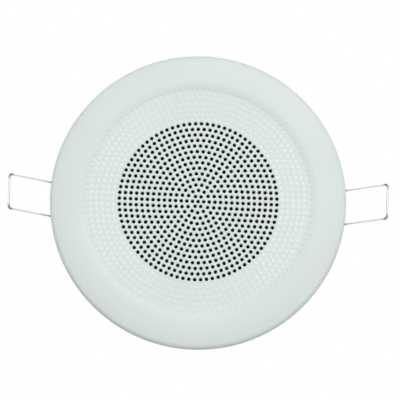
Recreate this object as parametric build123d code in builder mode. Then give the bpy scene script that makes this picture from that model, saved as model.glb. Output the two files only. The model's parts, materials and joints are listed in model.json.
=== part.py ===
import os
from math import cos, radians, sin

from build123d import *

os.makedirs("parts", exist_ok=True)

# The ceiling's face is Z = 0. The grille looks down (-Z), and the driver stands above it in the void.
# The two spring clips are on the X axis, and the terminal strip is towards +Y.

# driving sizes of the moulded front, in mm
driver_dia = 131.0  # outside of the driver's flange
driver_room = 8.1  # from the driver's flange to the inside of the collar
wall = 2.4  # moulded wall
flange_width = 14.0  # from the collar to the outside of the flange
flange_rise = 7.0  # from the ceiling down to the crown of the flange
crown_drop = 2.1  # fall of the crown towards the rim
rim_land = 2.7  # upright edge of the rim
rim_step = 5.0  # deep part of the flange's hollow back, beside the collar
dish_depth = 1.2  # the perforated face lies this far behind the crown
dish_margin = 6.6  # from the collar's inside to the flat floor of the dish
dish_slope = 6.0  # width of the dish's sloping side
plate_thick = 1.6
grille_margin = 16.5  # from the driver's edge to the perforated field
grille_rings = 6  # rings of six, twelve, eighteen and so on round one opening in the middle
opening_r = 2.7
seat_height = 6.2  # of the driver's seat ring on the back of the plate
seat_width = 4.0
boss_r = 3.6
rib_count = 8
rib_thick = 2.0

# driving sizes of the clips
wire_dia = 1.4
clip_width = 20.8  # between the middles of a clip's two legs
clip_overhang = 24.0  # of the end bar past the flange, at rest
clip_angle = 50.0  # lean of the legs at rest, below the ceiling
clip_bend = 2.0  # corners of the wire
coil_mean = 3.4  # middle of the wire, round the peg
coil_turns = 3
turn_gap = 0.05
peg_end = 0.6

# driving sizes of the driver
flange_band = 11.1  # width of the basket's flange
screw_inset = 4.5  # from the driver's edge to its screws
gasket_thick = 1.9
sheet = 0.8  # basket
rubber = 0.5  # surround
paper = 0.5  # cone and dust cap
cloth = 0.4  # spider
basket_step = 5.6  # upright part of the basket next to its flange
basket_depth = 21.9  # from the basket's flange to the spider's shelf
shelf_width = 5.2
cup_depth = 8.2
window_count = 6
window_angle = 42.0
window_edge = 2.7  # metal left round the windows
roll_width = 8.4
roll_height = 4.0
bond_width = 2.6  # of the surround on the cone
cone_depth = 17.6
cap_width = 4.0  # from the former to the edge of the dust cap
cap_rise = 5.0
coil_dia = 20.4  # outside of the voice coil's former
former_thick = 0.2
winding_thick = 0.7
winding_length = 6.8
spider_width = 23.3
magnet_dia = 65.0
magnet_thick = 11.0
pole_plate = 4.0
magnet_hole = 5.0  # from the former to the magnet's bore
plate_inset = 6.0  # of the top plate inside the magnet's edge
yoke_inset = 3.0
magnetic_gap = 0.5  # on each side of the voice coil
board_length = 26.0
board_width = 10.0
board_thick = 1.5
tab_width = 13.0
tag_width = 4.0
tag_thick = 0.5
tag_overhang = 4.0
tag_spread = 18.0
lead_r = 0.5
lead_bend = 3.0

# clearances
slip = 0.3  # between faces that turn or slide past each other
seat = 0.1  # beside a part that is laid in place

# radii and heights that follow
driver_r = driver_dia / 2
collar_in = driver_r + driver_room
collar_r = collar_in + wall
flange_r = collar_r + flange_width
dish_r = collar_in - dish_margin
crown_r = dish_r + dish_slope
grille_r = driver_r - grille_margin
screw_r = driver_r - screw_inset
coil_r = coil_dia / 2
magnet_r = magnet_dia / 2
wire_r = wire_dia / 2
plate_front = dish_depth - flange_rise
plate_back = plate_front + plate_thick
rim_back = wall + crown_drop - flange_rise
hollow_back = wall + slip - flange_rise
seat_top = plate_back + seat_height
flange_front = seat_top + gasket_thick + rubber
basket_in = driver_r - flange_band
roll_out = basket_in - rubber
seat_in = roll_out - slip
seat_out = seat_in + seat_width

# the clip's legs lean on the back edge of the rim, and its coils sit on the pegs of a post,
# inside the collar's circle so that they go through the cut-out
lean = (cos(radians(clip_angle)), -sin(radians(clip_angle)))
away = (-lean[1], lean[0])
leg_y = clip_width / 2
coil_out = coil_mean + wire_r + turn_gap
coil_in = coil_mean - wire_r - turn_gap
coil_far = leg_y + wire_r + turn_gap
coil_near = leg_y - coil_turns * (wire_dia + turn_gap) - wire_r
rest_x = flange_r + (wire_r + slip) * away[0]
rest_z = (wire_r + slip) * away[1]
pivot_x = (collar_r**2 - coil_far**2) ** 0.5 - coil_out
leg_run = (rest_x - pivot_x - coil_mean * away[0]) / lean[0]
pivot_z = rest_z - leg_run * lean[1] - coil_mean * away[1]
leg_start = (pivot_x + coil_mean * away[0], 0, pivot_z + coil_mean * away[1])
leg_length = (flange_r + clip_overhang - leg_start[0]) / lean[0]
collar_top = pivot_z - coil_out - slip
peg_r = coil_in - slip
post_half = coil_near - seat
post_r = coil_out - slip
post_in = pivot_x - post_r
post_out = collar_in + wall / 2

with BuildPart() as baffle:
    with BuildSketch(Plane.XZ):
        with BuildLine():
            dish = Polyline(
                (0, plate_back),
                (0, plate_front),
                (dish_r, plate_front),
                (crown_r, -flange_rise),
            )
            crown = TangentArc(dish @ 1, (flange_r - wall, crown_drop - flange_rise), tangent=(1, 0))
            rim = TangentArc(crown @ 1, (flange_r, -rim_land), tangent=crown % 1)
            Polyline(
                rim @ 1,
                (flange_r, 0),
                (flange_r - wall, 0),
                (flange_r - wall, rim_back),
                (collar_r + rim_step, rim_back),
                (collar_r + rim_step, hollow_back),
                (collar_r, hollow_back),
                (collar_r, collar_top),
                (collar_in, collar_top),
                (collar_in, plate_back),
                (seat_out, plate_back),
                (seat_out, seat_top),
                (seat_in, seat_top),
                (seat_in, plate_back),
                (0, plate_back),
            )
        make_face()
    revolve(axis=Axis.Z)
    # ribs between the seat ring and the collar, on both sides of the posts
    with BuildSketch(Plane.XY.offset(plate_back)):
        with PolarLocations((seat_out + collar_in) / 2, rib_count, start_angle=180 / rib_count):
            Rectangle(collar_in - seat_out + wall, rib_thick)
    extrude(amount=seat_height - rubber)
    # bosses that take the driver's screws and stop its flange
    with BuildSketch(Plane.XY.offset(plate_back)):
        with PolarLocations(screw_r, 4, start_angle=45):
            Circle(boss_r)
    extrude(amount=flange_front - plate_back)
    # clip posts, each with a peg to both sides
    for side in (1, -1):
        with BuildSketch(Plane.XZ):
            with Locations((side * pivot_x, pivot_z)):
                Circle(post_r)
            with Locations((side * pivot_x, (pivot_z + collar_top - wall) / 2)):
                Rectangle(2 * post_r, pivot_z - collar_top + wall)
            with Locations((side * (post_in + post_out) / 2, (pivot_z + plate_back) / 2)):
                Rectangle(post_out - post_in, pivot_z - plate_back)
        extrude(amount=post_half, both=True)
        with BuildSketch(Plane.XZ):
            with Locations((side * pivot_x, pivot_z)):
                Circle(peg_r)
        extrude(amount=coil_far + peg_end, both=True)
    # the grille's openings
    ring_pitch = (grille_r - opening_r) / grille_rings
    with BuildSketch(Plane.XY.offset(plate_front)):
        RegularPolygon(opening_r, 6)
        for ring in range(1, grille_rings + 1):
            with PolarLocations(ring * ring_pitch, 6 * ring):
                RegularPolygon(opening_r, 6)
    extrude(amount=plate_thick, mode=Mode.SUBTRACT)
baffle.part.label = "baffle"
export_step(baffle.part, "parts/baffle.step")

# one bent wire: two legs joined by the end bar, and a close coil at the end of each leg
leg_plane = Plane(origin=leg_start, x_dir=(lean[0], 0, lean[1]), z_dir=(away[0], 0, away[1]))
coil_plane = Plane(origin=(pivot_x, 0, pivot_z), x_dir=(1, 0, 0), z_dir=(0, -1, 0))
with BuildPart() as clip_right:
    with BuildLine(leg_plane) as loop:
        FilletPolyline((0, -leg_y), (leg_length, -leg_y), (leg_length, leg_y), (0, leg_y), radius=clip_bend)
    with BuildSketch(Plane(origin=loop.line @ 0, z_dir=loop.line % 0)):
        RegularPolygon(wire_r, 8)
    sweep()
    for turn_side in (1, -1):
        with BuildSketch(coil_plane.offset(turn_side * (coil_near + coil_far) / 2)):
            RegularPolygon(coil_out, 12)
            RegularPolygon(coil_in, 12, major_radius=False, mode=Mode.SUBTRACT)
        extrude(amount=(coil_far - coil_near) / 2, both=True)
clip_right.part.label = "clip_right"
export_step(clip_right.part, "parts/clip_right.step")

with BuildPart() as clip_left:
    mirror(clip_right.part, about=Plane.YZ)
clip_left.part.label = "clip_left"
export_step(clip_left.part, "parts/clip_left.step")

# foam ring that seals the driver to its seat, over the edge of the surround
lip_out = seat_out - 2 * slip
with BuildPart() as basket_gasket:
    with BuildSketch(Plane.XY.offset(seat_top)):
        Circle(lip_out)
        Circle(roll_out + 2 * rubber, mode=Mode.SUBTRACT)
    extrude(amount=gasket_thick)
basket_gasket.part.label = "basket_gasket"
export_step(basket_gasket.part, "parts/basket_gasket.step")

# heights along the driver, from its flange to the back of its yoke
shelf_z = flange_front + basket_depth
shelf_out = coil_r + spider_width
shelf_in = shelf_out - shelf_width
cup_floor = shelf_z + cup_depth
plate_z = cup_floor + sheet
magnet_z = plate_z + pole_plate
yoke_z = magnet_z + magnet_thick

# one opening between two spokes of the basket
with BuildSketch() as window:
    with BuildLine():
        inner = CenterArc((0, 0), shelf_out + window_edge, -window_angle / 2, window_angle)
        outer = CenterArc((0, 0), basket_in - window_edge, -window_angle / 2, window_angle)
        Line(inner @ 0, outer @ 0)
        Line(inner @ 1, outer @ 1)
    make_face()

# pressed sheet: flange, cone of spokes, shelf for the spider, cup
board_near = shelf_out + window_edge + tag_overhang
board_mid = board_near + board_width / 2
with BuildPart() as driver_basket:
    with BuildSketch(Plane.XZ):
        with BuildLine():
            Polyline(
                (driver_r, flange_front),
                (basket_in, flange_front),
                (basket_in, flange_front + basket_step),
                (shelf_out, shelf_z),
                (shelf_in, shelf_z),
                (shelf_in, cup_floor),
                (coil_r + magnet_hole - sheet, cup_floor),
            )
            offset(amount=sheet, kind=Kind.INTERSECTION, side=Side.RIGHT)
        make_face()
    revolve(axis=Axis.Z)
    with BuildSketch(Plane.XY.offset(flange_front)):
        with PolarLocations(0, window_count, start_angle=90):
            add(window.sketch)
    extrude(amount=basket_depth + 2 * sheet, mode=Mode.SUBTRACT)
    # tab that carries the terminal strip in the window towards +Y
    with BuildSketch(Plane.XY.offset(shelf_z)):
        with Locations((0, (shelf_in + sheet + board_near + board_width) / 2)):
            Rectangle(tab_width, board_near + board_width - shelf_in - sheet)
    extrude(amount=sheet)
driver_basket.part.label = "driver_basket"
export_step(driver_basket.part, "parts/driver_basket.step")

# rubber roll between the basket's flange and the cone
roll_in = roll_out - roll_width
cone_lip = roll_in - bond_width
with BuildPart() as surround:
    with BuildSketch(Plane.XZ):
        with BuildLine():
            Polyline(
                (lip_out, flange_front),
                (roll_out, flange_front),
                ((roll_out + roll_in) / 2, flange_front - roll_height),
                (roll_in, flange_front),
                (cone_lip, flange_front),
            )
            offset(amount=rubber, kind=Kind.INTERSECTION, side=Side.LEFT)
        make_face()
    revolve(axis=Axis.Z)
surround.part.label = "surround"
export_step(surround.part, "parts/surround.step")

# paper cone, from the surround to the former
neck_z = flange_front + cone_depth
with BuildPart() as cone:
    with BuildSketch(Plane.XZ):
        with BuildLine():
            Polyline((roll_in - slip, flange_front), (cone_lip, flange_front), (coil_r, neck_z))
            offset(amount=paper, kind=Kind.INTERSECTION, side=Side.RIGHT)
        make_face()
    revolve(axis=Axis.Z)
cone.part.label = "cone"
export_step(cone.part, "parts/cone.step")

# cap over the former, its edge on the cone's face
cone_slope = cone_depth / (cone_lip - coil_r)
cap_r = coil_r + cap_width
cap_edge = flange_front + (cone_lip - cap_r) * cone_slope
cap_top = cap_edge - cap_rise
with BuildPart() as dust_cap:
    with BuildSketch(Plane.XZ):
        with BuildLine():
            Polyline(
                (0, cap_top),
                (cap_r / 2, cap_top),
                (cap_r, cap_edge),
                (cap_r - paper, cap_edge + paper * cone_slope),
                (cap_r / 2 - paper / 2, cap_top + paper),
                (0, cap_top + paper),
                close=True,
            )
        make_face()
    revolve(axis=Axis.Z)
dust_cap.part.label = "dust_cap"
export_step(dust_cap.part, "parts/dust_cap.step")

# voice coil: a paper former, and the winding round it in the magnet's gap
winding_z = plate_z + (pole_plate - winding_length) / 2
former_z = neck_z - 2 * sheet
with BuildPart() as coil_former:
    with BuildSketch(Plane.XY.offset(former_z)):
        Circle(coil_r)
        Circle(coil_r - former_thick, mode=Mode.SUBTRACT)
    extrude(amount=winding_z + winding_length + slip - former_z)
coil_former.part.label = "coil_former"
export_step(coil_former.part, "parts/coil_former.step")

with BuildPart() as voice_coil:
    with BuildSketch(Plane.XY.offset(winding_z)):
        Circle(coil_r + winding_thick)
        Circle(coil_r, mode=Mode.SUBTRACT)
    extrude(amount=winding_length)
voice_coil.part.label = "voice_coil"
export_step(voice_coil.part, "parts/voice_coil.step")

# cloth disc that centres the coil, glued to the shelf
with BuildPart() as spider:
    with BuildSketch(Plane.XY.offset(shelf_z - cloth)):
        Circle(shelf_out - cloth)
        Circle(coil_r, mode=Mode.SUBTRACT)
    extrude(amount=cloth)
spider.part.label = "spider"
export_step(spider.part, "parts/spider.step")

# motor: top plate, ferrite ring, yoke with its pole
with BuildPart() as top_plate:
    with BuildSketch(Plane.XY.offset(plate_z)):
        Circle(magnet_r - plate_inset)
        Circle(coil_r + winding_thick + magnetic_gap, mode=Mode.SUBTRACT)
    extrude(amount=pole_plate)
top_plate.part.label = "top_plate"
export_step(top_plate.part, "parts/top_plate.step")

with BuildPart() as magnet:
    with BuildSketch(Plane.XY.offset(magnet_z)):
        Circle(magnet_r)
        Circle(coil_r + magnet_hole, mode=Mode.SUBTRACT)
    extrude(amount=magnet_thick)
magnet.part.label = "magnet"
export_step(magnet.part, "parts/magnet.step")

with BuildPart() as yoke:
    with BuildSketch(Plane.XY.offset(yoke_z)):
        Circle(magnet_r - yoke_inset)
    extrude(amount=pole_plate)
    with BuildSketch(Plane.XY.offset(plate_z)):
        Circle(coil_r - former_thick - magnetic_gap)
    extrude(amount=yoke_z - plate_z)
yoke.part.label = "yoke"
export_step(yoke.part, "parts/yoke.step")

# terminal strip on the basket's tab, with two solder tags
board_z = shelf_z + sheet
tag_z = board_z + board_thick
tag_x = tag_spread / 2
tag_length = board_width + 2 * tag_overhang
tag_hole_y = board_mid + board_width / 2 + tag_overhang / 2
with BuildPart() as terminal_strip:
    with BuildSketch(Plane.XY.offset(board_z)):
        with Locations((0, board_mid)):
            Rectangle(board_length, board_width)
    extrude(amount=board_thick)
terminal_strip.part.label = "terminal_strip"
export_step(terminal_strip.part, "parts/terminal_strip.step")

with BuildPart() as terminal_tags:
    with BuildSketch(Plane.XY.offset(tag_z)):
        with Locations((tag_x, board_mid), (-tag_x, board_mid)):
            Rectangle(tag_width, tag_length)
        with Locations((tag_x, tag_hole_y), (-tag_x, tag_hole_y)):
            RegularPolygon(tag_width / 4, 6, mode=Mode.SUBTRACT)
    extrude(amount=tag_thick)
terminal_tags.part.label = "terminal_tags"
export_step(terminal_tags.part, "parts/terminal_tags.step")

# tinsel leads from under the tags, through the window, down to the back of the cone
lead_y = board_near - tag_overhang / 2
lead_end_y = (shelf_out + coil_r) / 2 + slip
lead_end_r = (tag_x**2 + lead_end_y**2) ** 0.5
cone_back = flange_front + paper * (1 + cone_slope**2) ** 0.5
lead_foot = cone_back + (cone_lip - lead_end_r + lead_r) * cone_slope
lead_level = lead_foot + lead_bend + 3 * lead_r
for lead_side, lead_name in ((1, "lead_right"), (-1, "lead_left")):
    with BuildPart() as lead:
        with BuildLine(Plane.YZ.offset(lead_side * tag_x)) as run:
            FilletPolyline(
                (lead_y, tag_z),
                (lead_y, lead_level),
                (lead_end_y, lead_level),
                (lead_end_y, lead_foot),
                radius=lead_bend,
            )
        with BuildSketch(Plane(origin=run.line @ 0, z_dir=run.line % 0)):
            RegularPolygon(lead_r, 4)
        sweep()
    lead.part.label = lead_name
    export_step(lead.part, "parts/" + lead_name + ".step")
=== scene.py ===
import json
import math

import bmesh
import bpy
import numpy as np
from mathutils import Matrix, Vector


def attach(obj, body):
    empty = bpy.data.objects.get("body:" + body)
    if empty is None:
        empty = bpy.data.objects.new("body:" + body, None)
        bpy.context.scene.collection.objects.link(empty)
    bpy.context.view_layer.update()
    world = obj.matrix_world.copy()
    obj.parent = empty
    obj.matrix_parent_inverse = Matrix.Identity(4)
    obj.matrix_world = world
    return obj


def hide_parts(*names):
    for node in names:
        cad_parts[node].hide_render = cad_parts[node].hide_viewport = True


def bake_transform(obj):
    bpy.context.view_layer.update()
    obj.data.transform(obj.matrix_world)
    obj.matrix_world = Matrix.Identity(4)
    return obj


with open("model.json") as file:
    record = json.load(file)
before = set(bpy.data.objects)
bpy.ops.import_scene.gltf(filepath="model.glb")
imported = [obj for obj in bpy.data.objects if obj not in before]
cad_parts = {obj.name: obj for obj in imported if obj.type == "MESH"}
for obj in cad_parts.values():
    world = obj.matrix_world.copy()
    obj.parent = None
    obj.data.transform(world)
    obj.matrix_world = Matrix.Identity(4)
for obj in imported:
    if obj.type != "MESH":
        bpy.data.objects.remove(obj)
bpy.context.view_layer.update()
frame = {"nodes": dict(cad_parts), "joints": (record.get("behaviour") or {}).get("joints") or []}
mm = 0.001  # the dictionaries below are in millimetres and degrees
weldGap = 2e-6  # points closer than this, in metres, become one
plateFront = -5.8  # height of the perforated face
holePitch = 3.417  # between rings of holes, and between the holes of a ring
openRings = 14
blindRings = 19  # the rings after the open ones are dimples, as far as this one
bothSides = (1, -1)  # right, left
smallSteps = 32  # sides of a small round piece

# The grille looks down (-Z), the clips are on the X axis and the terminal strip is towards +Y.


def linked(name, data):  # a new object in the scene
    obj = bpy.data.objects.new(name, data)
    bpy.context.scene.collection.objects.link(obj)
    return obj


def settled(obj):  # a plain mesh of what its modifiers or its curve give
    ready = obj.evaluated_get(bpy.context.evaluated_depsgraph_get())
    return bpy.data.meshes.new_from_object(ready)


# node trees: one value, one tree, and the two kinds of tree


class Value:
    def __init__(self, tree, socket):
        self.tree = tree
        self.socket = socket

    def math(self, operation, other=None, swapped=False):
        ends = (other, self) if swapped else (self, other)
        sockets = {place: end for place, end in enumerate(ends) if end is not None}
        return self.tree.node("ShaderNodeMath", {"operation": operation}, sockets)

    def also(self, name):  # another output of the same node
        return Value(self.tree, self.socket.node.outputs[name])

    def __add__(self, other):
        return self.math("ADD", other)

    def __radd__(self, other):
        return self.math("ADD", other)

    def __sub__(self, other):
        return self.math("SUBTRACT", other)

    def __rsub__(self, other):
        return self.math("SUBTRACT", other, True)

    def __mul__(self, other):
        return self.math("MULTIPLY", other)

    def __rmul__(self, other):
        return self.math("MULTIPLY", other)

    def __truediv__(self, other):
        return self.math("DIVIDE", other)

    def __rtruediv__(self, other):
        return self.math("DIVIDE", other, True)


class Tree:
    def __init__(self, nodeTree):
        self.nodeTree = nodeTree

    def node(self, kind, settings=None, sockets=None, output=0):
        made = self.nodeTree.nodes.new(kind)
        for name, value in (settings or {}).items():
            setattr(made, name, value)
        for name, value in (sockets or {}).items():
            self.plug(made.inputs[name], value)
        return Value(self, made.outputs[output]) if made.outputs else made

    def plug(self, socket, value):
        if isinstance(value, list):  # several links into one socket
            for each in value:
                self.plug(socket, each)
        elif isinstance(value, Value):
            self.nodeTree.links.new(value.socket, socket)
        else:
            socket.default_value = value

    def xyz(self, x=0.0, y=0.0, z=0.0):
        return self.node("ShaderNodeCombineXYZ", sockets={"X": x, "Y": y, "Z": z})


class Finish(Tree):
    def __init__(self, name):
        self.material = bpy.data.materials.new(name)
        self.material.use_nodes = True
        super().__init__(self.material.node_tree)
        self.nodeTree.nodes.clear()
        surface = self.node("ShaderNodeBsdfPrincipled")
        self.shader = surface.socket.node
        self.end = self.node("ShaderNodeOutputMaterial", sockets={"Surface": surface})
        self.here = self.node("ShaderNodeTexCoord", output="Object")
        self.parts = self.node("ShaderNodeSeparateXYZ", sockets={"Vector": self.here})

    def set(self, **sockets):  # baseColor=... plugs "Base Color"
        for name, value in sockets.items():
            label = "".join(" " + c if c.isupper() else c for c in name)
            self.plug(self.shader.inputs[label[0].upper() + label[1:]], value)

    def mix(self, share, first, second):
        sockets = {0: share, 6: (*first, 1) if isinstance(first, tuple) else first}
        sockets[7] = (*second, 1) if isinstance(second, tuple) else second
        return self.node("ShaderNodeMix", {"data_type": "RGBA"}, sockets, 2)

    def tint(self, share, first, second):
        self.set(baseColor=self.mix(share, first, second))

    def rough(self, pattern, low, high):  # a noise lies mostly between 0.3 and 0.7
        self.set(roughness=self.ranged(pattern, 0.3, 0.7, low, high))

    def noise(self, size, detail=2.0, where=None):  # size of one grain in mm
        sockets = {"Vector": where or self.here, "Scale": 1 / (size * mm), "Detail": detail}
        return self.node("ShaderNodeTexNoise", sockets=sockets)

    def cells(self, size):
        sockets = {"Vector": self.here, "Scale": 1 / (size * mm)}
        return self.node("ShaderNodeTexVoronoi", sockets=sockets)

    def stretched(self, x, y, z):
        return self.node("ShaderNodeMapping", sockets={"Vector": self.here, "Scale": (x, y, z)})

    def ranged(self, value, low, high, first=0.0, last=1.0):
        sockets = {0: value, 1: low, 2: high, 3: first, 4: last}
        return self.node("ShaderNodeMapRange", {"clamp": True}, sockets)

    def band(self, value, start, full, fade, end):  # 1 from full to fade, 0 outside start and end
        return self.ranged(value, start, full) * self.ranged(value, fade, end, 1.0, 0.0)

    def waves(self, value, length):  # a sine, one wave for each length
        return (value * (2 * math.pi / length)).math("SINE")

    def fromAxis(self):  # distance from the Z axis, in metres
        x = self.parts.also("X")
        y = self.parts.also("Y")
        return (x * x + y * y).math("SQRT")

    def bump(self, height, depth):  # depth in mm
        sockets = {"Height": height, "Distance": depth * mm, "Strength": 1.0}
        self.set(normal=self.node("ShaderNodeBump", sockets=sockets))


class Grower(Tree):  # a Geometry Nodes tree that ends in one plain mesh
    kinds = {
        float: "NodeSocketFloat",
        int: "NodeSocketInt",
        bpy.types.Material: "NodeSocketMaterial",
        bpy.types.Object: "NodeSocketObject",
    }

    def __init__(self, name, values):
        super().__init__(bpy.data.node_groups.new(name, "GeometryNodeTree"))
        self.values = values
        face = self.nodeTree.interface
        for label, value in values.items():
            face.new_socket(label, in_out="INPUT", socket_type=self.kinds[type(value)])
        face.new_socket("Geometry", in_out="OUTPUT", socket_type="NodeSocketGeometry")
        self.start = self.node("NodeGroupInput")

    def given(self, label):
        return self.start.also(label)

    def join(self, *shapes):
        return self.node("GeometryNodeJoinGeometry", sockets={"Geometry": list(shapes)})

    def real(self, shape):
        return self.node("GeometryNodeRealizeInstances", sockets={"Geometry": shape})

    def turn(self, angle):  # a rotation about Z
        return self.node("FunctionNodeEulerToRotation", sockets={"Euler": self.xyz(z=angle)})

    def moved(self, shape, z):
        sockets = {"Geometry": shape, "Translation": self.xyz(z=z)}
        return self.node("GeometryNodeTransform", sockets=sockets)

    def points(self, count, reach, angle, z=0.0):
        spot = self.xyz(reach * angle.math("COSINE"), reach * angle.math("SINE"), z)
        return self.node("GeometryNodePoints", sockets={"Count": count, "Position": spot})

    def spread(self, points, shape, **more):
        sockets = {"Points": points, "Instance": shape, **more}
        return self.node("GeometryNodeInstanceOnPoints", sockets=sockets)

    def grow(self, name, shape):
        sockets = {"Geometry": self.real(shape), "Distance": self.given("Weld")}
        welded = self.node("GeometryNodeMergeByDistance", sockets=sockets)
        sockets = {"Geometry": welded, "Material": self.given("Finish")}
        finished = self.node("GeometryNodeSetMaterial", sockets=sockets)
        self.node("NodeGroupOutput", sockets={"Geometry": finished})
        seed = linked(name, bpy.data.meshes.new(name + "Seed"))
        modifier = seed.modifiers.new(name, "NODES")
        modifier.node_group = self.nodeTree
        for item in self.nodeTree.interface.items_tree:
            if item.in_out == "INPUT":
                modifier[item.identifier] = self.values[item.name]
        mesh = settled(seed)
        bpy.data.objects.remove(seed)
        return mesh


# mesh helpers: outlines are lists of (radius, height) or (x, y) points in mm


def box(left, low, right, high):
    return [(left, low), (right, low), (right, high), (left, high)]


def turned(points, angle):
    c, s = math.cos(angle), math.sin(angle)
    return [(u * c - v * s, u * s + v * c) for u, v in points]


def raised(points, height):
    return [(r, z + height) for r, z in points]


def arcAbout(x, y, radius, sweep, steps):  # points on an arc that starts at angle 0
    angles = [math.radians(sweep * k / steps) for k in range(steps + 1)]
    return [(x + radius * math.cos(a), y + radius * math.sin(a)) for a in angles]


def arcTo(start, tangent, end, steps):  # points after start on the arc that leaves along tangent
    p, t, q = Vector(start), Vector(tangent).normalized(), Vector(end)
    side = Vector((-t.y, t.x))
    chord = q - p
    reach = chord.length_squared / (2 * chord.dot(side))
    centre = p + side * reach
    sweep = 2 * math.atan2(chord.dot(side), chord.dot(t))
    turns = [Matrix.Rotation(sweep * step / steps, 2) for step in range(1, steps + 1)]
    return [tuple(centre + turn @ (p - centre)) for turn in turns]


def arcEnd(start, tangent, end):  # direction in which that arc ends
    chord = Vector(end) - Vector(start)
    t = Vector(tangent).normalized()
    return 2 * chord * (chord.dot(t) / chord.length_squared) - t


def rounded(points, radius, steps=3, closed=False):  # every corner gets an arc
    most = 0.45  # share of a side that one arc may take
    flat = math.radians(88)  # a corner with a larger half angle stays a point
    count = len(points)
    made = []
    for i, point in enumerate(points):
        if not closed and i in (0, count - 1):
            made.append(tuple(point))
            continue
        p = Vector(point)
        a = Vector(points[i - 1]) - p
        b = Vector(points[(i + 1) % count]) - p
        half = a.angle(b) / 2
        if half > flat:
            made.append(tuple(point))
            continue
        cut = min(radius / math.tan(half), a.length * most, b.length * most)
        first = p + a.normalized() * cut
        last = p + b.normalized() * cut
        made.append(tuple(first))
        made += arcTo(first, p - first, last, steps)
    return made


def runs(points):  # direction of a line at each of its points
    last = len(points) - 1
    return [(points[min(i + 1, last)] - points[max(i - 1, 0)]).normalized() for i in range(last + 1)]


def thick(path, width):  # closed outline round an open path, width to its left
    line = [Vector(p) for p in path]
    back = [tuple(p + Vector((-run.y, run.x)) * width) for p, run in zip(line, runs(line))]
    return [tuple(p) for p in line] + back[::-1]


def spun(outline, steps, closed=True, phase=0.0):  # an outline turned once round Z
    verts = []
    for k in range(steps):
        a = phase + 2 * math.pi * k / steps
        verts += [(r * math.cos(a) * mm, r * math.sin(a) * mm, z * mm) for r, z in outline]
    size = len(outline)
    faces = []
    for k in range(steps):
        here = k * size
        there = (k + 1) % steps * size
        for i in range(size if closed else size - 1):
            j = (i + 1) % size
            faces.append((here + i, here + j, there + j, there + i))
    return verts, faces


def stood(outline, steps, x, y):  # a turned shape stood at a place
    verts, faces = spun(outline, steps)
    return [(v[0] + x * mm, v[1] + y * mm, v[2]) for v in verts], faces


def prism(outline, low, high, place):  # a closed outline pushed from low to high
    size = len(outline)
    verts = [place(u, v, low) for u, v in outline] + [place(u, v, high) for u, v in outline]
    faces = [tuple(range(size)), tuple(range(2 * size - 1, size - 1, -1))]
    faces += [(i, i + size, (i + 1) % size + size, (i + 1) % size) for i in range(size)]
    return [tuple(mm * c for c in v) for v in verts], faces


def upright(u, v, w):  # places a prism whose outline is in plan
    return (u, v, w)


def acrossY(u, v, w):  # places a prism whose outline is in side view
    return (u, w, v)


def solid(name, *shapes, bevel=0.0):
    build = bmesh.new()
    for verts, faces in shapes:
        made = [build.verts.new(v) for v in verts]
        for face in faces:
            build.faces.new([made[i] for i in face])
    bmesh.ops.remove_doubles(build, verts=build.verts, dist=weldGap)
    bmesh.ops.dissolve_degenerate(build, edges=build.edges, dist=weldGap)
    bmesh.ops.recalc_face_normals(build, faces=build.faces)
    if bevel:
        sharp = [e for e in build.edges if e.calc_face_angle(0) > math.radians(30)]
        size = bevel * mm
        bmesh.ops.bevel(build, geom=sharp, offset=size, segments=2, profile=0.5, affect="EDGES")
    mesh = bpy.data.meshes.new(name)
    build.to_mesh(mesh)
    build.free()
    return linked(name, mesh)


def combined(obj, operation, *tools):  # adds or cuts closed shapes, and removes them
    for tool in tools:
        step = obj.modifiers.new("step", "BOOLEAN")
        step.solver = "MANIFOLD"
        step.operation = operation
        step.object = tool
    mesh = settled(obj)
    obj.modifiers.clear()
    obj.data = mesh
    for tool in tools:
        bpy.data.objects.remove(tool)
    return obj


def dressed(obj, finish, body=None, nodes=(), sharp=32.0):
    obj.data.materials.clear()
    obj.data.materials.append(finish.material)
    obj.data.shade_smooth()
    obj.data.set_sharp_from_angle(angle=math.radians(sharp))
    if nodes:
        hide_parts(*nodes)
    if body:
        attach(obj, body)
    return obj


def bent(obj, weights):  # weights: not used
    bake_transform(obj)
    return obj


def eased(value, low, high):
    t = np.clip((np.asarray(value, float) - low) / (high - low), 0, 1)
    return t * t * (3 - 2 * t)


def radii(obj):  # every vertex's distance from the Z axis, in mm
    return np.array([math.hypot(v.co.x, v.co.y) for v in obj.data.vertices]) / mm


def tube(name, path, radius, sides, origin=0.0):  # a capped bar along a path in mm
    points = [Vector(p) for p in path]
    ways = runs(points)
    across = ways[0].orthogonal().normalized()
    along = [0.0]
    verts = []
    for i, (p, way) in enumerate(zip(points, ways)):
        across = (across - way * across.dot(way)).normalized()
        up = way.cross(across)
        if i:
            along.append(along[-1] + (p - points[i - 1]).length)
        for k in range(sides):
            a = 2 * math.pi * k / sides
            verts.append((p + (across * math.cos(a) + up * math.sin(a)) * radius) * mm)
    faces = []
    uvs = []
    for i in range(len(points) - 1):
        near = i * sides
        far = near + sides
        low, high = along[i], along[i + 1]
        for k in range(sides):
            n = (k + 1) % sides
            faces.append((near + k, near + n, far + n, far + k))
            left, right = k / sides, (k + 1) / sides
            uvs += [(left, low), (right, low), (right, high), (left, high)]
    last = len(verts) - sides
    faces += [tuple(range(sides - 1, -1, -1)), tuple(range(last, last + sides))]
    uvs += [(0, 0)] * sides + [(0, along[-1])] * sides
    uvs = [(u, v - along[-1] * origin) for u, v in uvs]
    mesh = bpy.data.meshes.new(name)
    mesh.from_pydata(verts, [], faces)
    layer = mesh.uv_layers.new(name="along")  # u is round the bar, v is along it in mm
    layer.data.foreach_set("uv", np.array(uvs, np.float32).ravel())
    return linked(name, mesh), np.repeat(along, sides)


# finishes


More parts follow.
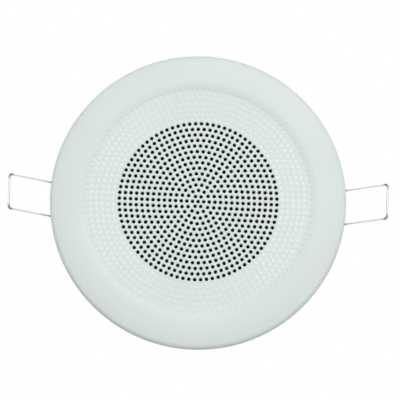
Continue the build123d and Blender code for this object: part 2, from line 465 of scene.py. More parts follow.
def whitePlastic():
    f = Finish("whitePlastic")
    flow = f.noise(45, 3)
    grain = f.noise(0.35, 3)
    plain = f.mix(f.ranged(flow, 0.35, 0.65), (0.735, 0.802, 0.796), (0.75, 0.815, 0.812))
    out = f.fromAxis()
    ring = out / (holePitch * mm)
    blind = f.band(ring, openRings + 0.4, openRings + 0.5, blindRings + 0.4, blindRings + 0.5)
    sunk = f.band(f.parts.also("Z") / mm - plateFront, 0.005, 0.08, 0.3, 0.4)
    # painted highlight: the dimple floors are tinted paler, most on the sides towards the clips
    sideHighlight = f.ranged(f.parts.math("ABSOLUTE") / out, 0.3, 0.8)
    f.tint(sunk * blind * sideHighlight, plain, (0.835, 0.895, 0.89))  # dimples painted paler as a painted highlight, brightest towards the clips
    f.rough(grain, 0.40, 0.50)
    f.bump(grain * 0.6 + f.noise(2.5, 2) * 0.4, 0.012)
    return f


def springSteel():
    f = Finish("springSteel")
    uv = f.node("ShaderNodeUVMap", {"uv_map": "along"})
    drawn = f.node("ShaderNodeMapping", sockets={"Vector": uv, "Scale": (40, 0.35, 1)})
    lines = f.node("ShaderNodeTexNoise", sockets={"Vector": drawn, "Scale": 1.0, "Detail": 3.0})
    along = f.node("ShaderNodeSeparateXYZ", sockets={"Vector": uv}).also("Y")
    away = along.math("ABSOLUTE")  # mm of wire from the middle of the end bar
    # painted reflection: the legs get a paler steel than the coils and the middle of the end bar
    paleSheen = f.mix(lines, (0.82, 0.82, 0.83), (0.95, 0.95, 0.96))
    plainTone = f.mix(lines, (0.58, 0.58, 0.59), (0.74, 0.74, 0.75))
    leg = f.mix(f.ranged(away, 49.5, 58.0), paleSheen, plainTone)  # legs painted paler, a painted reflection of the white surroundings; the coils keep the plain steel tone
    wire = f.mix(f.ranged(away, 8.0, 16.0), (0.58, 0.58, 0.59), leg)
    # painted dark reflection: darker at the bends of the loop and where the wire lies on the rim
    bendShade = f.band(away, 7.0, 9.0, 11.0, 13.0)
    rest = f.band(away, 44.5, 46.5, 47.5, 49.5)  # where it lies on the flange's rim
    f.tint(bendShade.math("MAXIMUM", rest * 0.55), wire, (0.24, 0.24, 0.245))  # painted dark reflection at the loop's bends and where the wire lies on the rim
    f.set(metallic=1.0)
    f.rough(lines, 0.14, 0.28)
    f.bump(lines, 0.01)
    return f


def blackPaint():
    f = Finish("blackPaint")
    dust = f.noise(12, 4)
    peel = f.noise(0.9, 2)
    f.tint(f.ranged(dust, 0.45, 0.75), (0.012, 0.012, 0.013), (0.022, 0.022, 0.024))
    f.rough(dust, 0.34, 0.46)
    f.bump(peel, 0.02)
    return f


def gasketFoam():
    f = Finish("gasketFoam")
    pores = f.cells(0.5)
    f.tint(f.ranged(pores, 0.0, 0.6), (0.010, 0.010, 0.011), (0.05, 0.05, 0.052))
    f.set(roughness=0.92)
    f.bump(pores, 0.12)
    return f


def rollRubber():
    f = Finish("rollRubber")
    bloom = f.noise(8, 4)
    f.tint(f.ranged(bloom, 0.4, 0.8), (0.011, 0.011, 0.012), (0.026, 0.026, 0.027))
    f.rough(bloom, 0.5, 0.66)
    f.bump(f.noise(0.3, 2), 0.01)
    return f


def blackFelt():
    f = Finish("blackFelt")
    fibres = f.noise(1.2, 6, f.stretched(1.0, 0.45, 1.0))
    crossed = f.noise(1.0, 6, f.stretched(0.4, 1.0, 1.0))
    matted = fibres * 0.5 + crossed * 0.5
    f.tint(f.ranged(matted, 0.4, 0.65), (0.014, 0.014, 0.014), (0.05, 0.049, 0.047))
    f.set(roughness=0.95)
    f.bump(matted, 0.08)
    return f


def formerPaper():
    f = Finish("formerPaper")
    fibres = f.noise(1.5, 5)
    f.tint(fibres, (0.34, 0.22, 0.11), (0.48, 0.33, 0.18))
    f.set(roughness=0.75)
    f.bump(fibres, 0.03)
    return f


def coilCopper():
    f = Finish("coilCopper")
    shade = f.noise(3, 3)
    f.tint(shade, (0.52, 0.21, 0.09), (0.68, 0.32, 0.15))
    f.set(metallic=1.0)
    f.rough(shade, 0.26, 0.38)
    f.bump(f.waves(f.parts.also("Z"), 0.22 * mm), 0.05)  # the turns of the winding
    return f


def spiderCloth():
    f = Finish("spiderCloth")
    threads = 0.75 * mm  # one pair of threads
    weave = f.waves(f.parts.also("X"), threads) * f.waves(f.parts.also("Y"), threads)
    soak = f.noise(9, 4)
    worn = f.mix(f.ranged(soak, 0.35, 0.7), (0.36, 0.20, 0.06), (0.52, 0.32, 0.11))
    f.tint(f.ranged(weave, -0.9, 0.2), (0.22, 0.12, 0.04), worn)
    f.set(roughness=0.82)
    f.bump(weave, 0.08)
    return f


def zincPlate():
    f = Finish("zincPlate")
    sockets = {"Vector": f.xyz(f.fromAxis()), "Scale": 2600.0, "Detail": 4.0}
    rings = f.node("ShaderNodeTexNoise", sockets=sockets)  # turning marks
    cloud = f.noise(14, 4)
    f.tint(f.ranged(cloud, 0.35, 0.7), (0.40, 0.405, 0.41), (0.48, 0.477, 0.465))
    f.set(metallic=1.0, roughness=f.ranged(cloud * 0.6 + rings * 0.4, 0.35, 0.65, 0.32, 0.48))
    f.bump(rings, 0.02)
    return f


def ferriteBlack():
    f = Finish("ferriteBlack")
    grain = f.noise(0.5, 5)
    specks = f.cells(1.6)
    stain = f.noise(20, 4)
    shade = f.mix(f.ranged(stain, 0.35, 0.7), (0.030, 0.030, 0.032), (0.055, 0.054, 0.054))
    f.tint(f.ranged(specks, 0.0, 0.12, 1.0, 0.0), shade, (0.10, 0.10, 0.10))
    f.rough(grain, 0.5, 0.7)
    f.bump(grain, 0.05)
    return f


def phenolicBoard():
    f = Finish("phenolicBoard")
    fibres = f.noise(2.0, 6, f.stretched(0.25, 1.0, 1.0))
    f.tint(f.ranged(fibres, 0.35, 0.65), (0.20, 0.085, 0.03), (0.33, 0.16, 0.06))
    f.rough(fibres, 0.38, 0.55)
    f.bump(fibres, 0.02)
    return f


def tinnedBrass():
    f = Finish("tinnedBrass")
    cloud = f.noise(2.5, 4)
    f.tint(f.ranged(cloud, 0.4, 0.7), (0.58, 0.57, 0.54), (0.58, 0.49, 0.32))
    f.set(metallic=1.0)
    f.rough(cloud, 0.22, 0.42)
    f.bump(cloud, 0.02)
    return f


def softSolder():
    f = Finish("softSolder")
    frost = f.noise(1.0, 4)
    f.tint(frost, (0.62, 0.62, 0.63), (0.76, 0.76, 0.77))
    f.set(metallic=1.0)
    f.rough(frost, 0.12, 0.34)
    f.bump(frost, 0.03)
    return f


def tinselBraid():
    f = Finish("tinselBraid")
    uv = f.node("ShaderNodeUVMap", {"uv_map": "along"})
    parts = f.node("ShaderNodeSeparateXYZ", sockets={"Vector": uv})
    turn = parts * (2 * math.pi * 4)  # four strands each way
    rise = parts.also("Y") * (2 * math.pi / 1.6)  # one turn of a strand every 6.4 mm
    strands = (turn + rise).math("SINE") * (turn - rise).math("SINE")
    f.tint(f.ranged(strands, -0.6, 0.6), (0.20, 0.10, 0.05), (0.66, 0.40, 0.22))
    f.set(metallic=0.9, roughness=f.ranged(strands, -0.6, 0.6, 0.6, 0.36))
    f.bump(strands, 0.12)
    return f


print("finishes")
plastic = whitePlastic()
steel = springSteel()
paint = blackPaint()
foam = gasketFoam()
rubber = rollRubber()
felt = blackFelt()
kraft = formerPaper()
copper = coilCopper()
cloth = spiderCloth()
zinc = zincPlate()
ferrite = ferriteBlack()
board = phenolicBoard()
tinned = tinnedBrass()
solder = softSolder()
braid = tinselBraid()


# moulded front: perforated dish, rounded flange, collar, driver seat, ribs, bosses and clip posts

grille = {
    "Pitch": holePitch * mm,
    "Open Rings": openRings,
    "Blind Rings": blindRings,
    "Hole Radius": 1.2 * mm,
    "Hole Edge": 0.06 * mm,
    "Hole Taper": 0.18 * mm,  # the holes narrow towards the back
    "Hole Sides": 16,
    "Dimple Radius": 1.1 * mm,
    "Dimple Depth": 0.22 * mm,
    "Dimple Sides": 12,
    "Dimple Rows": 3,
    "Front": plateFront * mm,
    "Back": -4.2 * mm,
    "Dish Radius": (blindRings + 0.5) * holePitch * mm,
    "Back Radius": 52.0 * mm,
    "Edge Points": 360,
    "Edge Turn": math.radians(1.4),  # of the points on the dish's edge
    "Turn": math.radians(0.9),  # of the rings of holes
    "Weld": weldGap,
    "Finish": plastic.material,
}


def perforatedDish():
    g = Grower("perforatedDish", grille)
    front = g.given("Front")
    back = g.given("Back")
    rim = g.given("Hole Edge")
    hole = g.given("Hole Radius")
    narrow = hole - g.given("Hole Taper")
    holeSides = g.given("Hole Sides")
    dent = g.given("Dimple Radius")
    dentSides = g.given("Dimple Sides")
    rings = g.given("Blind Rings")
    index = g.node("GeometryNodeInputIndex")  # one hole, then 6 round it, then 12, 18 and so on
    ring = ((((index - 0.5) * (4 / 3) + 1).math("SQRT") - 1) / 2).math("CEIL")
    step = index - ring * (ring - 1) * 3 - 1
    angle = step * (math.pi / 3) / ring.math("MAXIMUM", 1.0) + g.given("Turn")
    points = g.points(rings * (rings + 1) * 3 + 1, ring * g.given("Pitch"), angle)
    sockets = {"Geometry": points, "Selection": ring.math("LESS_THAN", g.given("Open Rings") + 0.5)}
    opened = g.node("GeometryNodeSeparateGeometry", {"domain": "POINT"}, sockets)
    blind = opened.also("Inverted")

    def circle(radius, count):
        sockets = {"Resolution": count, "Radius": radius}
        return g.node("GeometryNodeCurvePrimitiveCircle", {"mode": "RADIUS"}, sockets)

    def sheet(edgeRadius, height, *inside):
        sockets = {"Geometry": circle(edgeRadius, g.given("Edge Points"))}
        sockets["Rotation"] = g.turn(g.given("Edge Turn"))
        edge = g.node("GeometryNodeTransform", sockets=sockets)
        lines = g.real(g.join(edge, *inside))
        filled = g.node("GeometryNodeFillCurve", {"mode": "TRIANGLES"}, {"Curve": lines})
        return g.moved(filled, height)

    def funnel(count, bottom, top, depth, rows=1):
        sockets = {"Vertices": count, "Side Segments": rows, "Depth": depth}
        sockets.update({"Radius Bottom": bottom, "Radius Top": top})
        return g.node("GeometryNodeMeshCone", {"fill_type": "NONE"}, sockets)

    openLines = g.spread(opened, circle(hole + rim, holeSides))
    blindLines = g.spread(blind, circle(dent, dentSides))
    backLines = g.spread(opened, circle(narrow, holeSides))
    face = sheet(g.given("Dish Radius"), front, openLines, blindLines)
    rear = sheet(g.given("Back Radius"), back, backLines)
    lip = g.moved(funnel(holeSides, hole + rim, hole, rim), front)
    bore = g.moved(funnel(holeSides, hole, narrow, back - front - rim), front + rim)
    bores = g.spread(opened, g.join(lip, bore))
    at = g.node("ShaderNodeSeparateXYZ", sockets={"Vector": g.node("GeometryNodeInputPosition")})
    x, y = at, at.also("Y")
    depth = (1 - (x * x + y * y) / (dent * dent)) * g.given("Dimple Depth")
    cone = funnel(dentSides, dent, 0.0, dent, g.given("Dimple Rows"))
    sockets = {"Geometry": cone, "Position": g.xyz(x, y, depth)}
    cup = g.node("GeometryNodeSetPosition", sockets=sockets)
    cups = g.spread(blind, g.moved(cup, front))
    return g.grow("perforatedDish", g.join(face, rear, bores, cups))


front = {
    "flangeR": 90.0,
    "wall": 2.4,
    "rimLand": 2.7,
    "crownZ": -7.0,
    "shoulderZ": -4.9,
    "wallFoot": 66.7,  # where the dish's side starts to rise
    "wallTop": 73.2,
    "wallSteps": 8,
    "crownSteps": 12,
    "rimSteps": 8,
    "dentRing": blindRings + 1,  # the last ring of dimples lies on the dish's side
    "dentDepth": 0.34,
    "collarR": 76.0,
    "collarIn": 73.6,
    "collarTop": 14.427,
    "rimBack": -2.5,
    "hollowBack": -4.3,
    "hollowStep": 81.0,
    "seatIn": 53.6,
    "seatOut": 57.6,
    "seatTop": 2.0,
    "backEdge": 0.5,  # rounding of the edges behind
    "root": 0.8,  # how far ribs, bosses and posts go into what carries them
    "ribs": 8,
    "ribHalf": 1.0,
    "ribTop": 1.5,
    "ribEdge": 0.3,
    "bosses": 4,
    "bossR": 3.6,
    "bossTop": 4.4,
    "screwR": 61.0,
    "postHalf": 5.25,
    "postR": 3.85,
    "postFoot": 2.0,  # below the collar's top
    "postEdge": 0.35,
    "pegR": 2.35,
    "pegEnd": 11.75,
    "pegEdge": 0.3,
}
pivot = Vector(next(j for j in frame["joints"] if j["name"] == "clip_right_fold")["pos_m"]) / mm


def dishSide(radius):  # height of the dish's front, in mm
    share = float(eased(radius, front["wallFoot"], front["wallTop"]))
    return plateFront + (front["crownZ"] - plateFront) * share


def sideDents():  # the ring of dimples on the dish's side, one square patch for each
    deep = front["dentDepth"]
    dent = grille["Dimple Radius"] / mm
    count = 6 * front["dentRing"]
    middle = front["dentRing"] * holePitch
    half = math.pi / count
    cupRows = (0.36, 0.7, 1.0)  # rows of points, in shares of the dimple's radius
    skirtRows = (0.45, 1.0)  # and in shares of the way on to the patch's edge
    edge = [(-1, -1), (-1 / 3, -1), (1 / 3, -1), (1, -1), (1, -1 / 3), (1, 1 / 3)]
    edge += [(-u, -v) for u, v in edge]
    size = len(edge)
    spots = [(0.0, 0.0, deep)]
    for share in cupRows:
        for u, v in edge:
            a = math.atan2(v, u)
            r = dent * share
            spots.append((r * math.cos(a), r * math.sin(a), deep * (1 - share * share)))
    for share in skirtRows:
        for u, v in edge:
            a = math.atan2(v, u)
            across = dent * math.cos(a) * (1 - share) + u * half * middle * share
            along = dent * math.sin(a) * (1 - share) + v * holePitch / 2 * share
            spots.append((across, along, 0.0))
    verts, faces = [], []
    for k in range(count):
        turn = grille["Turn"] + 2 * half * k
        base = len(verts)
        for across, along, sunk in spots:
            r = middle + along
            a = turn + across / middle
            verts.append((r * math.cos(a) * mm, r * math.sin(a) * mm, (dishSide(r) + sunk) * mm))
        for i in range(size):
            j = (i + 1) % size
            faces.append((base, base + 1 + i, base + 1 + j))
            for row in range(len(cupRows) + len(skirtRows) - 1):
                low = base + 1 + row * size
                faces.append((low + i, low + size + i, low + size + j, low + j))
    return verts, faces


def flangeOutline():  # from the dish's side over the crown and rim, round the back to the plate
    f = front
    start = (f["dentRing"] + 0.5) * holePitch
    rise = [(r, dishSide(r)) for r in np.linspace(start, f["wallTop"], f["wallSteps"] + 1)]
    shoulder = (f["flangeR"] - f["wall"], f["shoulderZ"])
    crown = arcTo(rise[-1], (1, 0), shoulder, f["crownSteps"])
    edge = (f["flangeR"], -f["rimLand"])
    rim = arcTo(shoulder, arcEnd(rise[-1], (1, 0), shoulder), edge, f["rimSteps"])
    plateBack = grille["Back"] / mm
    back = [
        edge,
        (f["flangeR"], 0),
        (f["flangeR"] - f["wall"], 0),
        (f["flangeR"] - f["wall"], f["rimBack"]),
        (f["hollowStep"], f["rimBack"]),
        (f["hollowStep"], f["hollowBack"]),
        (f["collarR"], f["hollowBack"]),
        (f["collarR"], f["collarTop"]),
        (f["collarIn"], f["collarTop"]),
        (f["collarIn"], plateBack),
        (f["seatOut"], plateBack),
        (f["seatOut"], f["seatTop"]),
        (f["seatIn"], f["seatTop"]),
        (f["seatIn"], plateBack),
        (grille["Back Radius"] / mm, plateBack),
    ]
    return rise + crown + rim[:-1] + rounded(back, f["backEdge"], 2)


def seatRibs(low):
    f = front
    rib = box(f["seatOut"] - f["root"], -f["ribHalf"], f["collarIn"] + f["root"], f["ribHalf"])
    made = []
    for k in range(f["ribs"]):
        outline = turned(rib, math.radians(360 / f["ribs"] * (k + 0.5)))
        made.append(solid("rib", prism(outline, low, f["ribTop"], upright), bevel=f["ribEdge"]))
    return made


def screwBosses(low):
    f = front
    outline = rounded(box(0, low, f["bossR"], f["bossTop"]), f["backEdge"], 2)
    made = []
    for k in range(f["bosses"]):
        a = math.radians(360 / f["bosses"] * (k + 0.5))
        x, y = f["screwR"] * math.cos(a), f["screwR"] * math.sin(a)
        made.append(solid("boss", stood(outline, smallSteps, x, y)))
    return made


def clipPosts(low):
    f = front
    top = arcAbout(pivot.x, pivot.z, f["postR"], 180, 16)
    foot = f["collarIn"] + f["wall"] / 2
    footTop = f["collarTop"] - f["postFoot"]
    post = top + [(pivot.x - f["postR"], low), (foot, low), (foot, footTop), (top[0][0], footTop)]
    made = []
    for side in bothSides:
        outline = [(side * u, v) for u, v in post]
        shape = prism(outline, -f["postHalf"], f["postHalf"], acrossY)
        made.append(solid("post", shape, bevel=f["postEdge"]))
        outline = arcAbout(side * pivot.x, pivot.z, f["pegR"], 360, smallSteps)[:-1]
        shape = prism(outline, -f["pegEnd"], f["pegEnd"], acrossY)
        made.append(solid("peg", shape, bevel=f["pegEdge"]))
    return made


def mouldedFront():
    plate = perforatedDish()
    dish = [tuple(v.co) for v in plate.vertices], [tuple(p.vertices) for p in plate.polygons]
    flange = spun(flangeOutline(), grille["Edge Points"], False, grille["Edge Turn"])
    obj = solid("moulded_front", dish, sideDents(), flange)
    build = bmesh.new()
    build.from_mesh(obj.data)
    print("open edges:", sum(not e.is_manifold for e in build.edges))
    build.free()
    low = grille["Back"] / mm - front["root"]
    combined(obj, "UNION", *seatRibs(low), *screwBosses(low), *clipPosts(low))
    return dressed(obj, plastic, "frame", ["baffle"])


print("moulded front")
mouldedFront()


# spring clips: one wire each, coiled round the post's pegs, down over the rim and round the end bar

clip = {
    "wireR": 0.7,
    "legY": 10.4,
    "lean": 50.0,
    "reach": 114.0,  # middle of the end bar
    "bend": 2.0,
    "coilR": 3.4,
    "coilStart": 6.05,  # the coil starts under the peg, beside the post
    "coilSweep": 950.0,
    "anchorBend": 0.8,  # the wire's end turns into the post
    "anchorEnd": 4.2,
    "sides": 12,
    "turnSteps": 28,
    "anchorSteps": 6,
    "legSteps": 24,
    "bendSteps": 8,
    "barSteps": 6,
}


def clipPath():  # half of the wire, from its end in the post to the middle of the end bar
    c = clip
    lean = math.radians(c["lean"])
    down = Vector((math.cos(lean), 0, -math.sin(lean)))
    out = Vector((math.sin(lean), 0, math.cos(lean)))
    last = math.atan2(out.z, out.x)
    sweep = math.radians(c["coilSweep"])
    steps = round(sweep / (2 * math.pi) * c["turnSteps"])
    coil = []
    for k in range(steps + 1):
        a = last + sweep * (1 - k / steps)
        y = c["coilStart"] + (c["legY"] - c["coilStart"]) * k / steps
        coil.append((pivot.x + c["coilR"] * math.cos(a), y, pivot.z + c["coilR"] * math.sin(a)))
    tangent = Vector((math.sin(last + sweep), 0, -math.cos(last + sweep)))
    hub = Vector(coil[0]) - Vector((0, c["anchorBend"], 0))
    anchor = [hub - tangent * c["anchorBend"] + Vector((0, c["anchorEnd"] - hub.y, 0))]
    for k in range(c["anchorSteps"]):
        a = math.pi / 2 * k / c["anchorSteps"]
        anchor.append(hub + (Vector((0, math.sin(a), 0)) - tangent * math.cos(a)) * c["anchorBend"])
    leave = Vector(coil[-1])
    length = (c["reach"] - leave.x) / down.x
    corner = leave + down * length
    loop = []
    for k in range(1, c["legSteps"] + 1):
        loop.append(leave + down * ((length - c["bend"]) * k / c["legSteps"]))
    for k in range(1, c["bendSteps"] + 1):
        a = math.pi / 2 * k / c["bendSteps"]
        along = down * (c["bend"] * (math.sin(a) - 1))
        loop.append(corner + along - Vector((0, c["bend"] * (1 - math.cos(a)), 0)))
    for k in range(1, c["barSteps"] + 1):
        loop.append((corner.x, (c["legY"] - c["bend"]) * (1 - k / c["barSteps"]), corner.z))
    share = [0.0] * len(anchor) + [k / steps for k in range(steps + 1)] + [1.0] * len(loop)
    return [tuple(p) for p in anchor + coil + loop], share


def springClip(side, name, node):
    path, share = clipPath()
    mirrored = [(x, -y, z) for x, y, z in path[-2::-1]]
    whole = [(side * x, y, z) for x, y, z in path + mirrored]
    obj, _ = tube(name, whole, clip["wireR"], clip["sides"], 0.5)
    dressed(obj, steel, nodes=[node], sharp=50)
    return bent(obj, np.repeat(share + share[-2::-1], clip["sides"]))


print("spring clips")
springClip(1, "clip_wire_right", "clip_right")
springClip(-1, "clip_wire_left", "clip_left")


# driver: pressed basket, roll, cone, cap, spider, motor, terminals, leads and screws

driver = {
    "outer": 65.5,
    "flangeZ": 4.4,
    "sheet": 0.8,
    "basketIn": 54.4,
    "stepZ": 10.0,
    "shelfOut": 33.5,
    "shelfIn": 28.3,
    "shelfZ": 26.3,
    "cupZ": 34.5,
    "cupHole": 14.4,
    "fold": 1.0,  # inner radius of the sheet's folds
    "facet": 2.5,  # about the size of one face
    "steps": 216,
    "windows": 6,
    "windowIn": 36.2,
    "windowOut": 51.7,
    "windowHalf": 21.0,
    "windowCorner": 3.0,
    "spokeRib": 1.0,  # height of the pressed rib on a spoke
    "ribStart": (35.0, 38.5),  # radii between which it rises, and where it ends
    "ribEnd": (48.5, 52.5),
    "ribFlank": (0.8, 3.0),  # distances from its middle line
    "ribFoot": (0.5, 3.0),  # heights over the step
    "tabHalf": 6.5,
    "tabNear": 30.3,
    "tabCorner": 2.0,
    "boardNear": 40.2,
    "boardFar": 50.2,
}


def sector(inner, outer, half, corner, steps=5):  # rounded window about the X axis, in plan
    points = []
    half = math.radians(half)
    for radius, sign in ((outer, 1), (inner, -1)):
        hub = radius - sign * corner
        lean = half - math.asin(corner / hub)
        for side in (-sign, sign):
            centre = Vector((hub * math.cos(lean), side * hub * math.sin(lean)))
            first = side * lean + (0 if sign == 1 else math.pi)
            last = side * (half + math.pi / 2)
            turn = (last - first + math.pi) % (2 * math.pi) - math.pi
            bow = [first + turn * k / steps for k in range(steps + 1)]
            if side == -sign:
                bow = bow[::-1]
            points += [tuple(centre + Vector((math.cos(a), math.sin(a))) * corner) for a in bow]
    return points


def pressedBasket():
    d = driver
    line = [
        (d["outer"], d["flangeZ"]),
        (d["basketIn"], d["flangeZ"]),
        (d["basketIn"], d["stepZ"]),
        (d["shelfOut"], d["shelfZ"]),
        (d["shelfIn"], d["shelfZ"]),
        (d["shelfIn"], d["cupZ"]),
        (d["cupHole"], d["cupZ"]),
    ]
    folded = rounded(line, d["fold"], 4)
    dense = []
    for a, b in zip(folded, folded[1:]):
        parts = max(1, round(math.dist(a, b) / d["facet"]))
        run = np.array(b) - np.array(a)
        dense += [tuple(np.array(a) + run * k / parts) for k in range(parts)]
    dense.append(folded[-1])
    verts, faces = spun(thick(dense, -d["sheet"]), d["steps"])
    spacing = 2 * math.pi / d["windows"]
    lifted = []
    for x, y, z in verts:  # a pressed rib along the middle of every spoke
        r = math.hypot(x, y) / mm
        off = (math.atan2(y, x) + spacing / 2) % spacing - spacing / 2
        rise = eased(r, *d["ribStart"]) * (1 - eased(r, *d["ribEnd"]))
        rise *= 1 - eased(abs(off) * r, *d["ribFlank"])
        rise *= eased(z / mm - d["stepZ"], *d["ribFoot"])
        lifted.append((x, y, z + d["spokeRib"] * float(rise) * mm))
    obj = solid("basket_pressing", (lifted, faces))
    window = sector(d["windowIn"], d["windowOut"], d["windowHalf"], d["windowCorner"])
    past = d["shelfZ"] + 2  # over the sheet, so that the cut goes through it
    cuts = []
    for k in range(d["windows"]):
        outline = turned(window, spacing * (k + 0.5))
        cuts.append(solid("window", prism(outline, d["flangeZ"], past, upright)))
    combined(obj, "DIFFERENCE", *cuts)
    tab = box(-d["tabHalf"], d["tabNear"], d["tabHalf"], d["boardFar"])
    tab = rounded(tab, d["tabCorner"], 4, True)
    combined(obj, "UNION", solid("tab", prism(tab, d["shelfZ"], d["shelfZ"] + d["sheet"], upright)))
    return dressed(obj, paint, "frame", ["driver_basket"])


roll = {
    "lipOut": 57.0,
    "rollOut": 53.7,
    "rollIn": 45.7,
    "coneLip": 42.9,
    "height": 4.0,
    "rubber": 0.5,
    "landOut": 0.9,  # flat between the lip and the roll
    "landIn": 0.7,
    "corner": 0.8,
    "archSteps": 16,
    "steps": 180,
}


def surroundRoll():
    r = roll
    z = driver["flangeZ"]
    middle, half = (r["rollOut"] + r["rollIn"]) / 2, (r["rollOut"] - r["rollIn"]) / 2
    arch = [math.pi * k / r["archSteps"] for k in range(1, r["archSteps"])]
    bow = [(middle + half * math.cos(a), z - r["height"] * math.sin(a)) for a in arch]
    line = [(r["lipOut"], z), (r["rollOut"] + r["landOut"], z), *bow]
    line += [(r["rollIn"] - r["landIn"], z), (r["coneLip"], z)]
    outline = thick(rounded(line, r["corner"]), r["rubber"])
    obj = solid("surround_roll", spun(outline, r["steps"]))
    dressed(obj, rubber, nodes=["surround"], sharp=50)
    return bent(obj, 1 - eased(radii(obj), r["rollIn"], r["rollOut"]))


cone = {
    "lipOut": 45.2,
    "lip": 42.9,
    "neckR": 10.2,
    "neckZ": 22.0,
    "paper": 0.5,
    "ribs": (20.0, 28.0, 36.0),  # pressed rings that stiffen the paper
    "ribDepth": 0.35,
    "ribWidth": 0.9,
    "lineSteps": 71,
    "capR": 14.2,
    "capRise": 5.0,
    "capLineSteps": 13,
    "capSteps": 96,
    "steps": 180,
}


def coneHeight(radius):  # height of the cone's front at a radius
    slope = (cone["neckZ"] - driver["flangeZ"]) / (cone["lip"] - cone["neckR"])
    return driver["flangeZ"] + (cone["lip"] - radius) * slope


def paperCone():
    c = cone
    line = [(c["lipOut"], driver["flangeZ"])]
    for r in np.linspace(c["lip"], c["neckR"], c["lineSteps"] + 1):
        ring = sum(math.exp(-(((r - rib) / c["ribWidth"]) ** 2)) for rib in c["ribs"])
        line.append((r, coneHeight(r) - c["ribDepth"] * ring))
    obj = solid("paper_cone", spun(thick(line, -c["paper"]), c["steps"]))
    return dressed(obj, felt, "moving_cone", ["cone"], sharp=50)


def domeCap():
    c = cone
    edge = coneHeight(c["capR"])
    reach = (c["capR"] ** 2 + c["capRise"] ** 2) / (2 * c["capRise"])
    line = []
    for r in np.linspace(0, c["capR"], c["capLineSteps"] + 1):
        line.append((r, edge - c["capRise"] + reach - math.sqrt(reach**2 - r**2)))
    obj = solid("dome_cap", spun(thick(line, c["paper"]), c["capSteps"]))
    return dressed(obj, felt, "moving_cone", ["dust_cap"], sharp=50)


spider = {
    "outer": 33.1,
    "inner": 10.2,
    "waveOut": 28.0,
    "waveIn": 13.0,
    "waves": 5,
    "waveHeight": 0.9,
    "waveFade": 0.08,  # share at each end over which the waves grow
    "landOut": 1.5,  # flat beside the waves
    "landIn": 0.8,
    "cloth": 0.4,
    "lineSteps": 60,
    "steps": 144,
}


def corrugatedSpider():
    s = spider
    z = driver["shelfZ"] - s["cloth"]
    line = [(s["outer"], z), (s["waveOut"] + s["landOut"], z)]
    for share in np.linspace(0, 1, s["lineSteps"] + 1):
        r = s["waveOut"] + (s["waveIn"] - s["waveOut"]) * share
        swell = float(eased(share, 0, s["waveFade"]) * (1 - eased(share, 1 - s["waveFade"], 1)))
        line.append((r, z - s["waveHeight"] * math.sin(2 * math.pi * s["waves"] * share) * swell))
    line += [(s["inner"] + s["landIn"], z), (s["inner"], z)]
    obj = solid("spider_cloth_disc", spun(thick(line, -s["cloth"]), s["steps"]))
    dressed(obj, cloth, nodes=["spider"], sharp=60)
    return bent(obj, 1 - eased(radii(obj), s["waveIn"], s["waveOut"]))


motor = {
    "plateR": 26.5,
    "plateZ": 35.3,
    "plateBore": 11.4,
    "plateThick": 4.0,
    "plateEdge": 0.5,
    "magnetR": 32.5,
    "magnetBore": 15.2,
    "magnetThick": 11.0,
    "magnetEdge": 1.3,
    "yokeR": 29.5,
    "yokeEdge": 0.45,
    "poleR": 9.5,
    "stakeR": 8.6,  # ring pressed into the yoke's back, where the pole is held
    "stakeHalf": 0.8,
    "stakeDeep": 0.5,
    "steps": 144,
}


def motorParts():
    m = motor
    low = m["plateZ"]
    top = low + m["plateThick"]
    back = top + m["magnetThick"]
    end = back + m["plateThick"]
    outline = rounded(box(m["plateBore"], low, m["plateR"], top), m["plateEdge"], 3, True)
    plate = solid("top_plate_disc", spun(outline, m["steps"]))
    dressed(plate, zinc, "frame", ["top_plate"])
    chamfered = rounded(box(m["magnetBore"], top, m["magnetR"], back), m["magnetEdge"], 1, True)
    magnet = solid("magnet_ring", spun(chamfered, m["steps"]))
    dressed(magnet, ferrite, "frame", ["magnet"], sharp=25)
    line = [
        (0, low),
        (m["poleR"], low),
        (m["poleR"], back),
        (m["yokeR"], back),
        (m["yokeR"], end),
        (m["stakeR"] + m["stakeHalf"], end),
        (m["stakeR"], end - m["stakeDeep"]),
        (m["stakeR"] - m["stakeHalf"], end),
        (0, end),
    ]
    yoke = solid("yoke_disc", spun(rounded(line, m["yokeEdge"]), m["steps"]))
    dressed(yoke, zinc, "frame", ["yoke"])


terminal = {
    "boardHalf": 13.0,
    "boardZ": 27.1,
    "boardThick": 1.5,
    "boardCorner": 1.2,
    "boardEdge": 0.15,
    "rivet": [(0, 0), (2.4, 0), (2.208, 0.5), (1.32, 1.0), (0, 1.15)],  # radius, height over the board
    "rivetEdge": 0.5,
    "tagX": 9.0,
    "tagHalf": 2.0,
    "tagNear": 36.2,
    "tagFar": 54.2,
    "tagThick": 0.5,
    "tagCorner": 0.8,
    "waistHalf": 1.45,  # the tag narrows just outside the board
    "waistPast": 0.2,
    "waistTaper": 1.0,
    "tagHole": 52.2,
    "tagHoleR": 1.0,
    "eyeFoot": 0.6,  # the tag is wide again this far before its hole
    "eyelet": [(0.75, -0.2), (1.9, -0.2), (1.9, 0.15), (1.4, 0.5), (0.95, 0.4), (0.75, 0)],  # over the tag
}


